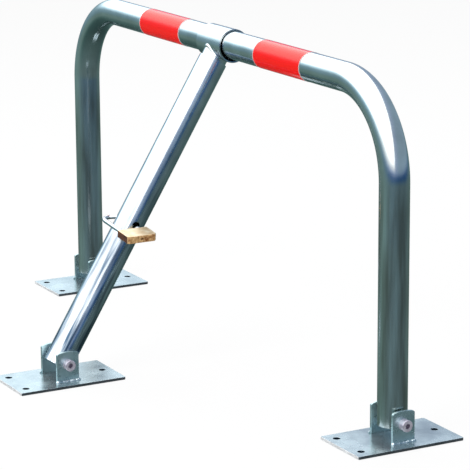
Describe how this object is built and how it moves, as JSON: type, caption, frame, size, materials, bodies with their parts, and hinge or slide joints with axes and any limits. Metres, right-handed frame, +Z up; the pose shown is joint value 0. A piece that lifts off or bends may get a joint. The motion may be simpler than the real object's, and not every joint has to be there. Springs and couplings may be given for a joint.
{
  "type": "parking barrier",
  "caption": "Folding parking barrier: a bent steel tube hoop on hinged foot plates, held up by a telescopic strut and locked with a padlock.",
  "frame": {"origin": "on the ground, midway between the two legs along X and midway between the hoop and the strut foot along Y", "axes": "+X along the hoop towards the leg that is nearest in the picture, +Y from the strut foot towards the hoop, +Z up"},
  "size_m": [1.27, 0.53, 0.6033],
  "materials": {
    "galvanised_tube": "satin zinc",
    "galvanised_steel": "satin zinc",
    "zinc_fastener": "bright zinc",
    "red_reflective_film": "gloss",
    "lock_brass": "satin",
    "plated_shackle_steel": "bright"
  },
  "bodies": {
    "feet": {"right_foot_base_plate": "galvanised_steel", "right_foot_ear_head_side": "galvanised_steel", "right_foot_ear_nut_side": "galvanised_steel", "right_foot_weld_beads": "galvanised_tube", "right_foot_pivot_bolt": "zinc_fastener", "right_foot_nut": "zinc_fastener", "right_foot_washer": "zinc_fastener", "left_foot_base_plate": "galvanised_steel", "left_foot_ear_head_side": "galvanised_steel", "left_foot_ear_nut_side": "galvanised_steel", "left_foot_weld_beads": "galvanised_tube", "left_foot_pivot_bolt": "zinc_fastener", "left_foot_nut": "zinc_fastener", "left_foot_washer": "zinc_fastener", "strut_foot_base_plate": "galvanised_steel", "strut_foot_ear_head_side": "galvanised_steel", "strut_foot_ear_nut_side": "galvanised_steel", "strut_foot_weld_beads": "galvanised_tube", "strut_foot_bolt_head_end": "zinc_fastener", "strut_foot_bolt_thread_end": "zinc_fastener", "strut_foot_nut": "zinc_fastener", "strut_foot_washer": "zinc_fastener"},
    "hoop": {"hoop_tube": "galvanised_tube", "red_band_left": "red_reflective_film", "red_band_right": "red_reflective_film"},
    "strut_top": {"collar_ring": "galvanised_tube", "collar_weld": "galvanised_tube", "strut_inner_tube": "galvanised_tube"},
    "strut_bottom": {"strut_outer_tube": "galvanised_tube"},
    "shackle": {"padlock_shackle": "plated_shackle_steel"},
    "lock_case": {"padlock_body": "lock_brass", "padlock_locking_balls": "plated_shackle_steel", "padlock_retaining_pin": "plated_shackle_steel", "padlock_spring": "plated_shackle_steel"},
    "key_plug": {"padlock_key_plug": "lock_brass"}
  },
  "joints": [
    {"name": "hoop_fold", "type": "hinge", "parent": "feet", "child": "hoop", "pos_m": [0, 0.165, 0.036], "axis": [-1, 0, 0], "range_deg": [0, 89]},
    {"name": "collar_turn", "type": "hinge", "parent": "hoop", "child": "strut_top", "pos_m": [0, 0.165, 0.575], "axis": [1, 0, 0], "range_deg": [0, 33]},
    {"name": "strut_slide", "type": "slide", "parent": "strut_top", "child": "strut_bottom", "axis": [0, -0.5222, -0.8529], "range_m": [0, 0.2385]},
    {"name": "padlock_swing", "type": "hinge", "parent": "strut_bottom", "child": "shackle", "pos_m": [0, -0.0235, 0.26712], "axis": [-0.9945, 0, 0.1045], "range_deg": [0, 62]},
    {"name": "shackle_release", "type": "slide", "parent": "shackle", "child": "lock_case", "axis": [0.9945, 0, -0.1045], "range_m": [0, 0.013]},
    {"name": "key_turn", "type": "hinge", "parent": "lock_case", "child": "key_plug", "pos_m": [0.08702, -0.04132, 0.25798], "axis": [0.9945, 0, -0.1045], "range_deg": [0, 90]}
  ],
  "couplings": [
    {"joint": "collar_turn", "follows": "hoop_fold", "ratio": 0.34941},
    {"joint": "strut_slide", "follows": "hoop_fold", "m_per_rad": 0.15256}
  ]
}
